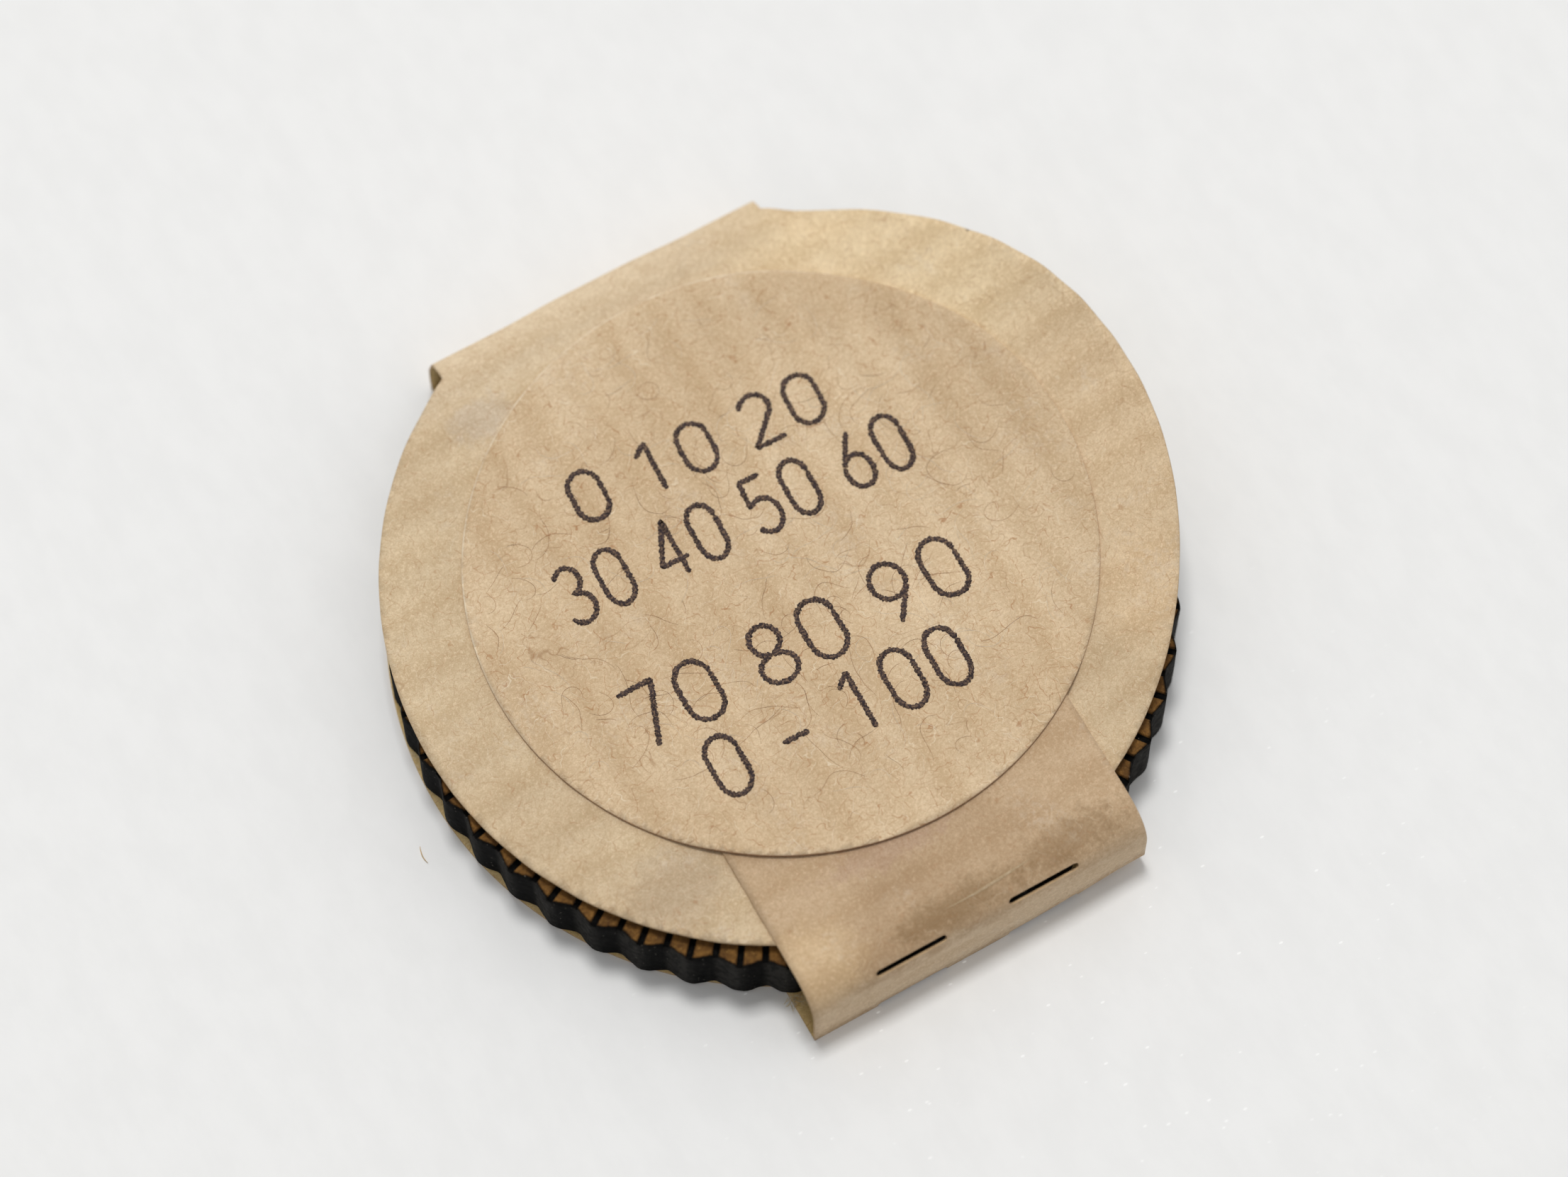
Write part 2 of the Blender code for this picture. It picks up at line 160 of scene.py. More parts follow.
class Net:
    """A material or world and short ways to add to its node net; most return an output socket.

    A colour of three numbers is in 0-255 display values.
    """

    def __init__(self, name, blocks="materials", shader="Principled BSDF"):
        self.block = getattr(bpy.data, blocks).new(name)
        self.block.use_nodes = True
        self.tree = self.block.node_tree
        self.shader = self.tree.nodes[shader]

    def add(self, kind, inputs=(), **settings):
        node = self.tree.nodes.new("ShaderNode" + kind)
        for key, value in settings.items():
            setattr(node, key, value)
        for key, value in inputs.items() if isinstance(inputs, dict) else enumerate(inputs):
            self.feed(value, node.inputs[key])
        return node

    def feed(self, value, socket):
        if isinstance(value, bpy.types.NodeSocket):
            self.tree.links.new(value, socket)
        elif value is not None:
            display = socket.type == "RGBA" and len(value) == 3
            socket.default_value = linear(*value) if display else value

    def finished(self, **values):
        """The material, with its shader's inputs set."""
        for key, value in values.items():
            self.feed(value, self.shader.inputs[key.replace("_", " ")])
        return self.block

    def attribute(self, name, output="Vector"):
        return self.add("Attribute", attribute_name=name).outputs[output]

    def millimetres(self):
        """The object's own coordinates, in millimetres."""
        place = self.add("TexCoord").outputs["Object"]
        return self.scaled(place, 1 / MM, 1 / MM, 1 / MM)

    def math(self, operation, *inputs):
        return self.add("Math", inputs, operation=operation).outputs[0]

    def times(self, first, second):
        return self.math("MULTIPLY", first, second)

    def plus(self, first, second):
        return self.math("ADD", first, second)

    def vector(self, operation, *inputs):
        """The outputs of a vector operation: 0 is the vector, 1 the value."""
        return self.add("VectorMath", inputs, operation=operation).outputs

    def scaled(self, vector, x, y, z):
        return self.vector("MULTIPLY", vector, (x, y, z))[0]

    def moved(self, vector, x, y, z):
        return self.vector("ADD", vector, (x, y, z))[0]

    def length(self, vector):
        return self.vector("LENGTH", vector)[1]

    def noise(self, vector, scale, detail=2, roughness=0.5, distortion=0):
        inputs = dict(Vector=vector, Scale=scale, Detail=detail, Roughness=roughness, Distortion=distortion)
        return self.add("TexNoise", inputs).outputs["Fac"]

    def band(self, value, low, high, out_low=0, out_high=1):
        """Smooth clamped step of value from low to high."""
        inputs = (value, low, high, out_low, out_high)
        return self.add("MapRange", inputs, interpolation_type="SMOOTHSTEP").outputs[0]

    def clouds(self, vector, grain, low, high, out_low=0, out_high=1):
        """Soft patches of a noise. grain is its scale, detail and roughness."""
        return self.band(self.noise(vector, *grain), low, high, out_low, out_high)

    def mix(self, share, first, second, blend="MIX"):
        node = self.add("Mix", data_type="RGBA", blend_type=blend)
        for value, index in ((share, 0), (first, 6), (second, 7)):
            self.feed(value, node.inputs[index])
        return node.outputs[2]

    def tint(self, colour, mask, strength, shade):
        """Colour with a 0-255 shade laid over it where the mask is."""
        return self.mix(self.times(mask, strength), colour, shade)

    def threads(self, vector, scale, width, mask_scale, mask_low, mask_high):
        """Thin curly lines: the level lines of a noise, shown only in patches."""
        field = self.noise(vector, scale, 1, 0.45, 0.7)
        line = self.band(self.math("ABSOLUTE", self.math("SUBTRACT", field, 0.5)), width, 0)
        mask = self.clouds(self.moved(vector, 31, 7, 3), (mask_scale, 1), mask_low, mask_high)
        return self.times(line, mask)

    def hairs(self, vector, scale, width, shift):
        """Short bent fibres, one in each cell of a flat Voronoi pattern, each at its own angle."""
        vector = self.moved(vector, shift, -shift, 0)
        sway = self.add("TexNoise", {"Vector": vector, "Scale": 1.6, "Detail": 1})
        bent = self.vector("MULTIPLY_ADD", sway.outputs["Color"], (0.9, 0.9, 0), vector)[0]
        cells = self.add("TexVoronoi", {"Vector": bent, "Scale": scale}, voronoi_dimensions="2D")
        arm = self.vector("SUBTRACT", bent, cells.outputs["Position"])[0]
        chance = self.add("SeparateColor", [cells.outputs["Color"]]).outputs
        angle = self.times(chance[0], tau)
        spun = self.add("VectorRotate", {"Vector": arm, "Angle": angle}, rotation_type="Z_AXIS")
        part = self.add("SeparateXYZ", [spun.outputs[0]]).outputs
        line = self.band(self.math("ABSOLUTE", part["Y"]), width, width * 0.3)
        ends = self.band(self.math("ABSOLUTE", part["X"]), 0.55 / scale, 0.4 / scale)
        faint = self.math("MULTIPLY_ADD", chance[1], 0.7, 0.3)
        return self.times(self.times(line, ends), faint)

    def specks(self, vector, scale, size, rarity):
        """Small dots, in a share of the cells of a Voronoi pattern."""
        cells = self.add("TexVoronoi", {"Vector": vector, "Scale": scale})
        dot = self.band(cells.outputs["Distance"], size, size * 0.5)
        channels = self.add("SeparateColor", [cells.outputs["Color"]])
        return self.times(dot, self.math("GREATER_THAN", channels.outputs[0], rarity))

    def bump(self, height, distance):
        return self.add("Bump", {"Height": height, "Distance": distance * MM, "Strength": 1}).outputs[0]


# Fibres in the paper: scale, width and shift of the pattern, strength and colour
FIBRES = {
    "curls": (1.3, 0.02, 3, 0.55, (164, 110, 64)),
    "wisps": (1.9, 0.017, 11, 0.55, (168, 116, 72)),
    "tufts": (2.4, 0.015, 23, 0.52, (172, 122, 80)),
    "pale": (1.1, 0.018, 41, 0.5, (240, 224, 196)),
}


def paper_material(name, light, dark, seed, rib_along_u=True, polish=0.3, fibre=1, patches=(), rim=None):
    """Ribbed kraft paper: blotches, ribs with painted shade, grain, curly fibres, specks, shiny patches
    with painted sheen.

    Each of the patches is a soft patch of colour on the blank, some of them painted light or shade: u, v,
    reach along u and v, colour, strength.
    rim is (centre, radius, colour) of a disc whose rear left edge gets a painted highlight of that colour.
    """
    net = Net(name)
    flat = net.attribute("flat")
    place = net.moved(flat, seed * 13.7, seed * 5.3, seed * 2.9)

    broad = net.clouds(place, (0.16, 2, 0.5), 0.35, 0.65)
    colour = net.mix(net.times(broad, 0.7), light, dark)
    # Patches of colour, some of them painted light or shade
    for u, v, reach_u, reach_v, shade, strength in patches:
        spot = net.scaled(net.moved(flat, -u, -v, 0), 1 / reach_u, 1 / reach_v, 1)
        ragged = net.math("SUBTRACT", net.noise(place, 1.7, 5, 0.75), 0.5)
        away = net.plus(net.length(spot), net.times(ragged, 2.4 / max(1, reach_v)))
        colour = net.mix(net.band(away, 1.2, 0.4, 0, strength), colour, shade)
    deep = net.mix(1, colour, (0.8, 0.74, 0.66, 1), "MULTIPLY")
    bright = net.mix(1, colour, (1.17, 1.18, 1.2, 1), "MULTIPLY")

    mottle = net.clouds(net.moved(place, 9, 4, 0), (1.3, 4, 0.65), 0.4, 0.66)
    colour = net.mix(net.times(mottle, 0.38), colour, deep)

    # Ribs: darker bands, partly the paper's tone and partly painted shade on the ribs' slopes
    across = net.add("SeparateXYZ", [flat]).outputs["Y" if rib_along_u else "X"]
    drawn_out = net.scaled(place, *((0.25, 0.6, 1) if rib_along_u else (0.6, 0.25, 1)))
    drift = net.times(net.math("SUBTRACT", net.noise(drawn_out, 0.5, 1), 0.5), 2.6)
    turns = net.plus(net.times(net.plus(across, RIB_START), tau / RIB_PITCH), drift)
    wave = net.times(net.plus(net.math("COSINE", turns), 1), 0.5)
    gate = net.clouds(drawn_out, (1.1, 2), 0.32, 0.6, 0.3, 1)
    rib_tone_and_shade = net.times(net.math("POWER", wave, 1.4), gate)
    colour = net.mix(net.times(rib_tone_and_shade, 0.72), colour, deep)

    grain = net.noise(place, 6.5, 5, 0.74)
    fine = net.noise(place, 16, 2, 0.7)
    for field, start, end, most, shade in (
        (grain, 0.5, 0.68, 0.75, deep), (grain, 0.5, 0.33, 0.75, bright),
        (fine, 0.52, 0.66, 0.6, deep), (fine, 0.46, 0.32, 0.5, bright),
    ):
        colour = net.mix(net.band(field, start, end, 0, most), colour, shade)

    threads = net.threads(place, 0.62, 0.0065, 0.42, 0.42, 0.58)
    colour = net.tint(colour, threads, 0.36 * fibre, (142, 98, 58))
    lines = {}
    for kind, (scale, width, shift, strength, shade) in FIBRES.items():
        lines[kind] = net.hairs(place, scale, width, shift)
        colour = net.tint(colour, lines[kind], strength * fibre, shade)
    colour = net.tint(colour, net.specks(place, 1.6, 0.05, 0.8), 0.45, (120, 84, 54))
    flecks = net.specks(net.moved(place, 5, 5, 0), 1.4, 0.04, 0.55)
    colour = net.tint(colour, flecks, 0.55, (244, 234, 214))

    # Shiny rubbed patches: lower roughness, with glints painted paler in the colour as a painted sheen
    rubbed_and_sheen = net.clouds(net.moved(place, 17, 61, 0), (0.4, 2), 0.54, 0.68)
    glints = net.times(rubbed_and_sheen, net.clouds(place, (3.6, 4, 0.75), 0.46, 0.6))
    colour = net.tint(colour, glints, polish * 0.8, (230, 220, 204))
    roughness = net.math("SUBTRACT", 0.84, net.times(glints, polish))
    roughness = net.plus(roughness, net.band(grain, 0.3, 0.7, -0.08, 0.08))

    # Painted highlight along the disc's rear left edge
    if rim:
        centre, radius, shade = rim
        arm = net.moved(flat, -centre[0], -centre[1], 0)
        lit = net.band(net.vector("DOT_PRODUCT", arm, (-0.5, 0.87, 0))[1], 0.2 * radius, 0.8 * radius)
        lit = net.times(lit, net.clouds(place, (0.9, 3), 0.35, 0.6, 0.15, 0.65))
        lit = net.times(lit, net.band(net.length(arm), radius - 0.09, radius - 0.03))
        colour = net.mix(lit, colour, shade)
    raised = net.plus(net.plus(threads, lines["pale"]), net.times(lines["curls"], 0.5))
    height = net.plus(net.plus(grain, net.times(fine, 0.4)), net.times(raised, 0.3))
    return net.finished(
        Base_Color=colour, Roughness=roughness, Normal=net.bump(height, 0.014), Specular_IOR_Level=0.3,
    )


def cut_edge_material(name, colour, seed, rear=None):
    """The thin cut edge of a sheet: browned fibres, with a painted highlight of the rear colour where it
    faces the rear.
    """
    net = Net(name)
    place = net.moved(net.attribute("flat"), seed, seed, 0)
    normal = net.add("TexCoord").outputs["Normal"]
    facing = net.add("SeparateXYZ", [normal]).outputs["Y"]
    # Painted highlight: the rear colour where the edge faces the rear
    shade = net.mix(net.band(facing, -0.3, 0.4), colour, rear or colour)
    shade = net.tint(shade, net.clouds(place, (3, 4, 0.7), 0.3, 0.7), 0.4, (120, 88, 60))
    bump = net.bump(net.noise(place, 14, 3, 0.7), 0.02)
    return net.finished(Base_Color=shade, Roughness=0.9, Normal=bump)


def ink_material(name, colour, worn_to):
    """Dark print that lets the ground show through where it is thin."""
    net = Net(name)
    flat = net.attribute("flat")
    cover = net.noise(flat, 9, 4, 0.75)
    tone = net.clouds(flat, (2, 2), 0.3, 0.7)
    ink = net.mix(tone, colour, [c * 1.35 for c in colour])
    return net.finished(
        Base_Color=net.mix(net.band(cover, 0.47, 0.6, 0, 0.85), ink, worn_to),
        Roughness=net.band(cover, 0.3, 0.7, 0.7, 0.9),
        Normal=net.bump(cover, 0.02), Specular_IOR_Level=0.12,
    )


def board_material():
    """Brown fibreboard, black where the laser burnt it, with a faint painted shade on the face further in
    from the rim; the attribute read here is 1 on burnt faces.
    """
    net = Net("fibreboard")
    place = net.millimetres()

    grain = net.noise(net.scaled(place, 1, 1, 3), 6, 5, 0.75)
    mottle = net.clouds(place, (1.3, 5, 0.7), 0.35, 0.65)
    board = net.mix(mottle, (138, 98, 46), (98, 67, 30))
    board = net.mix(net.band(grain, 0.5, 0.7, 0, 0.75), board, (78, 48, 22))
    board = net.mix(net.band(grain, 0.44, 0.28, 0, 0.5), board, (188, 146, 82))
    board = net.tint(board, net.threads(place, 1, 0.03, 0.7, 0.45, 0.6), 0.5, (70, 44, 24))

    streaks = net.noise(net.scaled(place, 1, 1, 0.45), 3.2, 4, 0.65)
    soot = net.mix(net.band(streaks, 0.45, 0.75), (5, 5, 5), (24, 23, 22))
    soot = net.tint(soot, net.specks(place, 5, 0.2, 0.74), 0.4, (150, 144, 134))
    ragged = net.clouds(place, (5, 3, 0.7), 0.3, 0.7, -0.1, 0.1)
    # burnt also carries the faint painted shade under the sheet's edge
    burnt = net.band(net.plus(net.attribute("char_and_shade", "Fac"), ragged), 0.1, 0.85)
    # Painted sheen: grey on the wall's scallop peaks and lit flanks, broken up by noise
    sheen_breakup = net.clouds(place, (3, 3, 0.7), 0.36, 0.6, 0.35, 1)
    colour = net.mix(burnt, board, soot)
    colour = net.tint(colour, net.times(net.attribute("painted_sheen", "Fac"), sheen_breakup), 0.45, (100, 97, 92))
    height = net.plus(grain, net.times(streaks, 1.4))
    height = net.plus(height, net.times(net.noise(place, 1.8, 2, 0.6), 3))
    return net.finished(
        Base_Color=colour, Roughness=net.band(burnt, 0, 1, 0.8, 0.95),
        Normal=net.bump(height, 0.06), Specular_IOR_Level=net.band(burnt, 0, 1, 0.25, 0.12),
    )


def brass_material():
    net = Net("brass_plate")
    place = net.millimetres()
    tarnish = net.clouds(place, (0.9, 4, 0.6), 0.4, 0.65)
    scratches = net.noise(net.scaled(place, 1, 14, 1), 2, 3, 0.7)
    return net.finished(
        Base_Color=net.mix(tarnish, (214, 180, 104), (168, 130, 66)), Metallic=1,
        Roughness=net.band(scratches, 0.3, 0.7, 0.24, 0.46), Normal=net.bump(scratches, 0.006),
    )


def film_material():
    """Clear tacky film: faint, uneven and shiny."""
    net = Net("adhesive_film")
    smear = net.noise(net.attribute("flat"), 0.8, 4, 0.6)
    colour = net.mix(net.band(smear, 0.4, 0.6), (190, 140, 100), (164, 114, 78))
    return net.finished(
        Base_Color=colour, Roughness=net.band(smear, 0.3, 0.7, 0.15, 0.4), Normal=net.bump(smear, 0.03),
    )


def hair_material(name, colour):
    net = Net(name)
    tone = net.clouds(net.millimetres(), (2.5, 2), 0.35, 0.65)
    shade = net.mix(tone, colour, [c * 0.8 for c in colour])
    return net.finished(Base_Color=shade, Roughness=0.55)


# ---- mesh helpers

def add_object(name, data):
    thing = bpy.data.objects.new(name, data)
    bpy.context.scene.collection.objects.link(thing)
    return thing


def add_piece(name, bm, materials, sharp_angle=38):
    """Turn a mesh drawn in millimetres into a piece."""
    bmesh.ops.recalc_face_normals(bm, faces=bm.faces)
    bmesh.ops.scale(bm, verts=bm.verts, vec=(MM, MM, MM))
    mesh = bpy.data.meshes.new(name)
    bm.to_mesh(mesh)
    bm.free()
    for finish in materials:
        mesh.materials.append(finish)
    mesh.shade_smooth()
    mesh.set_sharp_from_angle(angle=radians(sharp_angle))
    return add_object(name, mesh)


def thicken(piece, thickness, offset=-1):
    solidify = piece.modifiers.new("thickness", "SOLIDIFY")
    solidify.thickness = thickness * MM
    solidify.offset = offset
    return solidify


def turn_outward(piece, direction):
    """Make a sheet's face look along a direction, so that side gets the face material."""
    total = Vector()
    for polygon in piece.data.polygons:
        total += polygon.normal * polygon.area
    if total.dot(Vector(direction)) < 0:
        piece.data.flip_normals()


def settle(piece, body, slot, node=None):
    """Make a piece ride on its body and hide the CAD node it stands for; slot, what it is made of, is not
    used.
    """
    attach(piece, body)
    if node:
        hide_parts(node)


def skin(bm, grid):
    """Faces over a grid of vertices that closes on itself both ways."""
    for here, after in zip(grid, grid[1:] + grid[:1]):
        for a, b, c, d in zip(here, after, after[1:] + after[:1], here[1:] + here[:1]):
            bm.faces.new((a, b, c, d))


def cut(bm, point, normal, geometry=None, reach=0.002):
    bmesh.ops.bisect_plane(
        bm, geom=geometry or bm.verts[:] + bm.edges[:] + bm.faces[:], dist=reach,
        plane_co=(*point, 0), plane_no=(*normal, 0),
    )


def inside(point, outline):
    """Whether a point lies inside a convex outline that runs anticlockwise."""
    for (u0, v0), (u1, v1) in zip(outline, outline[1:] + outline[:1]):
        if (u1 - u0) * (point.y - v0) - (v1 - v0) * (point.x - u0) < 0:
            return False
    return True


def punch(bm, outline):
    """Cut a small convex hole into a flat sheet."""
    (low_u, high_u), (low_v, high_v) = ((min(side) - 0.01, max(side) + 0.01) for side in zip(*outline))
    for (u0, v0), (u1, v1) in zip(outline, outline[1:] + outline[:1]):
        near = [
            face for face in bm.faces
            if any(low_u <= p.co.x <= high_u and low_v <= p.co.y <= high_v for p in face.verts)
            or inside(face.calc_center_median(), outline)
        ]
        geometry = set(near)
        for face in near:
            geometry.update(face.verts)
            geometry.update(face.edges)
        cut(bm, (u0, v0), (v1 - v0, u0 - u1), list(geometry), 0.0005)
    hole = [face for face in bm.faces if inside(face.calc_center_median(), outline)]
    bmesh.ops.delete(bm, geom=hole, context="FACES")


def steps_between(low, high, spacing):
    count = max(1, ceil((high - low) / spacing))
    return [low + (high - low) * index / count for index in range(1, count)]


def sheet(name, outline, place, materials, outward, thickness=PAPER, spacing=0.4, fine_v=(), slits=()):
    """Finely divided sheet of paper: flat outline, slits cut, then folded into place.

    place(u, v) gives the sheet's middle in space. fine_v lists extra rows for
    tight bends. materials are the face, the back and the cut edge, and the face
    looks outward.
    """
    bm = bmesh.new()
    bm.faces.new([bm.verts.new((u, v, 0)) for u, v in outline])
    us, vs = zip(*outline)
    for u in steps_between(min(us), max(us), spacing):
        cut(bm, (u, 0), (1, 0))
    for v in steps_between(min(vs), max(vs), spacing) + list(fine_v):
        cut(bm, (0, v), (0, 1))
    for slit in slits:
        punch(bm, slit)
    bmesh.ops.triangulate(bm, faces=[face for face in bm.faces if len(face.verts) > 4])
    flat = bm.verts.layers.float_vector.new("flat")
    for vertex in bm.verts:
        u, v = vertex.co.x, vertex.co.y
        vertex[flat] = (u, v, 0)
        vertex.co = place(u, v)
    piece = add_piece(name, bm, materials)
    turn_outward(piece, outward)
    solidify = thicken(piece, thickness, 0)
    solidify.use_even_offset = True
    solidify.material_offset = 1
    solidify.material_offset_rim = 2
    return piece


def rounded_path(path, reach, steps=9, most=0.48):
    """Polyline with its inner corners rounded over a reach on each side, at most that share of a side."""
    points = [Vector(path[0])]
    for before, corner, after in zip(path, path[1:], path[2:]):
        corner = Vector(corner)
        arm_in, arm_out = Vector(before) - corner, Vector(after) - corner
        start = corner + arm_in.normalized() * min(reach, arm_in.length * most)
        end = corner + arm_out.normalized() * min(reach, arm_out.length * most)
        for step in range(steps + 1):
            t = step / steps
            points.append(start * (1 - t) ** 2 + corner * (2 * t * (1 - t)) + end * t * t)
    points.append(Vector(path[-1]))
    return points


class Path:
    """Side view (Y, Z) of a folded strip, looked up by distance along it."""

    def __init__(self, points):
        self.points = points
        self.distances = [0]
        for a, b in zip(points, points[1:]):
            self.distances.append(self.distances[-1] + (b - a).length)

    def at(self, distance):
        index = 0
        while index < len(self.points) - 2 and distance > self.distances[index + 1]:
            index += 1
        a, b = self.points[index], self.points[index + 1]
        share = (distance - self.distances[index]) / (self.distances[index + 1] - self.distances[index])
        return a + (b - a) * share


REAR_PATH = Path(rounded_path([
    (REAR_Y, BASE_LEVEL), (REAR_Y, 2), (16.12, 3), (15.5, 3.42), (14.6, TOP_LEVEL), (-17, TOP_LEVEL),
], 0.25))
FRONT_PATH = Path(rounded_path([
    (FRONT_Y, BASE_LEVEL), (FRONT_Y, 3.2), (-15.3, 3.66), (-13.4, FLAP_LEVEL), (0, FLAP_LEVEL),
], 0.8))
ROUND_PATH = Path(rounded_path([
    (FRONT_Y, BASE_LEVEL), (FRONT_Y, FLAP_LEVEL - 0.02), (-12, FLAP_LEVEL), (0, FLAP_LEVEL),
], 1.75))


def smooth(value):
    value = max(0, min(1, value))
    return value * value * (3 - 2 * value)


def rib_height(u, v, seed=0):
    """Ripple of the ribs, which run along u; uneven in strength and spacing."""
    drift = noise.noise(Vector((u * 0.05, v * 0.16, seed))) * 1.2
    strength = 0.75 + 0.6 * noise.noise(Vector((u * 0.09, v * 0.22, seed + 7)))
    ripple = cos((v + RIB_START) * tau / RIB_PITCH + drift)
    cockle = noise.noise(Vector((u * 0.16, v * 0.16, seed + 3)))
    return RIB_HEIGHT * (max(0.1, strength) * ripple + 1.1 * cockle)


def bearing(x, y):
    """Direction of a point from the top disc's centre, in degrees from +X."""
    return degrees(atan2(y - TOP_CENTRE[1], x - TOP_CENTRE[0]))


def hump(value, middle, width):
    return exp(-(((value - middle) / width) ** 2))


def drape(x, y):
    """How far the top disc stands off its level: a curl at +X, sagging shoulders beside the spine."""
    rise = CURL_RISE * (max(0, x - STRIP_HALF) / CURL_REACH) ** CURL_POWER
    rise *= 1 + 0.25 * smooth((y - 1) / 7) - 0.3 * smooth((-y - 4) / 8)
    past_wheel = smooth((hypot(x, y) - 15.4) / 1.6)
    turn = bearing(x, y)
    sag = 0.6 * hump(turn, 62, 13) + 0.26 * hump(turn, 121, 9)
    return rise - sag * past_wheel * smooth((abs(x) - STRIP_HALF) / 1.5)


def near_crease(distance):
    """0 at a crease, 1 away from it: ribs are pressed flat at a fold."""
    return smooth((distance - 0.3) / 1.4)


# ---- sleeve

def arc(centre, radius, start, end, spacing=0.3):
    steps = max(2, ceil(abs(end - start) * radius / spacing))
    turns = [start + (end - start) * index / steps for index in range(steps + 1)]
    return [(centre[0] + radius * cos(turn), centre[1] + radius * sin(turn)) for turn in turns]


def crease_slits(v, steps=4):
    """Outlines of the two slits on a crease, with rounded ends."""
    radius = SLIT_WIDTH / 2
    turns = [-pi / 2 + pi * step / steps for step in range(steps + 1)]
    return [[
        (u + side * (SLIT_LENGTH / 2 - radius + radius * cos(turn)), v + side * radius * sin(turn))
        for side in (1, -1) for turn in turns
    ] for u in SLIT_CENTRES]


def shoulders(x, radius):
    """Directions from a disc's centre, x from the middle, in which its rim meets the strip's sides."""
    return acos((STRIP_HALF - x) / radius), acos((-STRIP_HALF - x) / radius)


def base_outline():
    right, left = shoulders(BASE_CENTRE[0], BASE_RADIUS)
    rear, front = REAR_Y - FOLD_REACH, FRONT_Y + FOLD_REACH
    return (
        [(STRIP_HALF, rear), (-STRIP_HALF, rear)]
        + arc(BASE_CENTRE, BASE_RADIUS, left, tau - left)
        + [(-STRIP_HALF, front), (STRIP_HALF, front)]
        + arc(BASE_CENTRE, BASE_RADIUS, -right, right)
    )


def top_outline():
    """Top disc on the blank, where v runs on past the rear crease."""
    x, y = TOP_CENTRE
    centre_v = on_top(y)
    right, left = shoulders(x, DISC_RADIUS)
    start_v = REAR_CREASE + FOLD_REACH
    rim = []
    for u, v in arc((x, centre_v), DISC_RADIUS, -right, tau - left):
        stretch = 1 + TOP_STRETCH / DISC_RADIUS * hump(degrees(atan2(centre_v - v, u - x)), 8, 32)
        rim.append((x + (u - x) * stretch, centre_v + (v - centre_v) * stretch))
    return [(-STRIP_HALF, start_v), (STRIP_HALF, start_v)] + rim


def front_lift(u, v):
    """How far the sheet's front corner at +X stands off the floor, beyond the wheel's rim."""
    return 0.65 * smooth((hypot(u, v) - 15.9) / 1.8) * smooth((u + 1) / 7)


def place_base(u, v):
    return Vector((u + SKEW * v, v, BASE_LEVEL + (front_lift(u, v) if v < -12 else 0)))


def place_rear(u, v):
    """A point of the strip behind the rear crease: spine, then top disc."""
    distance = v - REAR_Y
    side = REAR_PATH.at(distance)
    y, z = side
    y -= 0.12 * smooth((abs(u) - 1.5) / 3) * hump(distance, SPINE_TOP, 0.9)
    lift = rib_height(u, v) * near_crease(distance - REAR_PATH.distances[-2] + 1.2)
    if distance > REAR_PATH.distances[-2] - 2:
        z += lift * clear_of_label(u, y) + drape(u, y)
    return Vector((u + SKEW * y, y, z))


def place_front(u, v):
    """A point of the strip in front of the front crease: riser, then flap."""
    distance = FRONT_Y - v
    sharp = FRONT_PATH.at(distance)
    softer = ROUND_PATH.at(distance * ROUND_PATH.distances[-1] / FRONT_PATH.distances[-1])
    y, z = sharp.lerp(softer, smooth((abs(u) - 4.3) / 2.6))
    bend_end = FRONT_PATH.distances[-2]
    lift = 0.7 * rib_height(u, v) * near_crease(distance - bend_end + 0.4) * clear_of_label(u, y)
    corner = front_lift(u, FRONT_Y) * (1 - smooth(distance / (TAB_TOP - BASE_LEVEL)))
    return Vector((u + SKEW * y, y, z + lift + corner))


def label_inset(x, y):
    """Distance of a point inside the label's edge; negative outside it."""
    return LABEL_RADIUS - hypot(x - LABEL_CENTRE[0], y - LABEL_CENTRE[1])


def clear_of_label(x, y):
    """1 in the open, falling to 0 where the label presses the sheet flat."""
    return 1 - smooth((label_inset(x, y) + 0.6) / 1.4)


def over_flap(x, y):
    """1 over the tab flap, 0 away from it, with a soft ramp between them."""
    ramp = 1.6
    beside = (STRIP_HALF + ramp - abs(x)) / ramp
    beyond = (FLAP_END_Y + ramp - y) / ramp
    return smooth(min(beside, beyond))


def label_surface(x, y, lift=0):
    """Middle of the label sheet above a point, raised by lift."""
    level = TOP_LEVEL + LABEL_LIFT + (FLAP_LEVEL - TOP_LEVEL) * over_flap(x, y) + drape(x, y)
    inset = label_inset(x, y)
    peel = 0.3 * hump(bearing(x, y), 66, 20) * (1 - smooth(inset / 4))
    peel += 0.09 * hump(bearing(x, y), -118, 30) * (1 - smooth(inset / 2))
    ribs = rib_height(y, x, 20) * (0.15 + 0.85 * smooth(inset / 1.2))
    return Vector((x, y, level + lift + peel + ribs))


def on_top(y):
    """Place along v, on the blank, of a point of the flat top disc."""
    return REAR_Y + REAR_PATH.distances[-2] + REAR_PATH.points[-2].x - y


REAR_CREASE = REAR_Y + SPINE_TOP - BASE_LEVEL
SLIT_CREASE = FRONT_Y - (TAB_TOP - BASE_LEVEL)

# Patches of colour on the blank, some of them painted light or shade: u, v, reach along u and v, colour,
# strength
TOP_PAINTED_LIGHT_AND_PATCHES = (
    # The first three are painted light: the disc's free edge at +X, lit through the paper from the floor
    # below
    (10, on_top(9.5), 8, 8, (238, 215, 176), 0.9),
    (14.5, on_top(-1), 4, 7.5, (226, 200, 164), 0.7),
    (12.6, on_top(-7.5), 2.6, 3, (230, 202, 164), 0.6),
    # Lighter and darker patches
    (-3, on_top(15.2), 12, 2, (228, 208, 178), 0.6),
    (-9.9, on_top(-9.2), 2.8, 2, (184, 163, 137), 0.55),
    (-7, on_top(12.6), 1.6, 1.1, (214, 200, 182), 0.5),
)
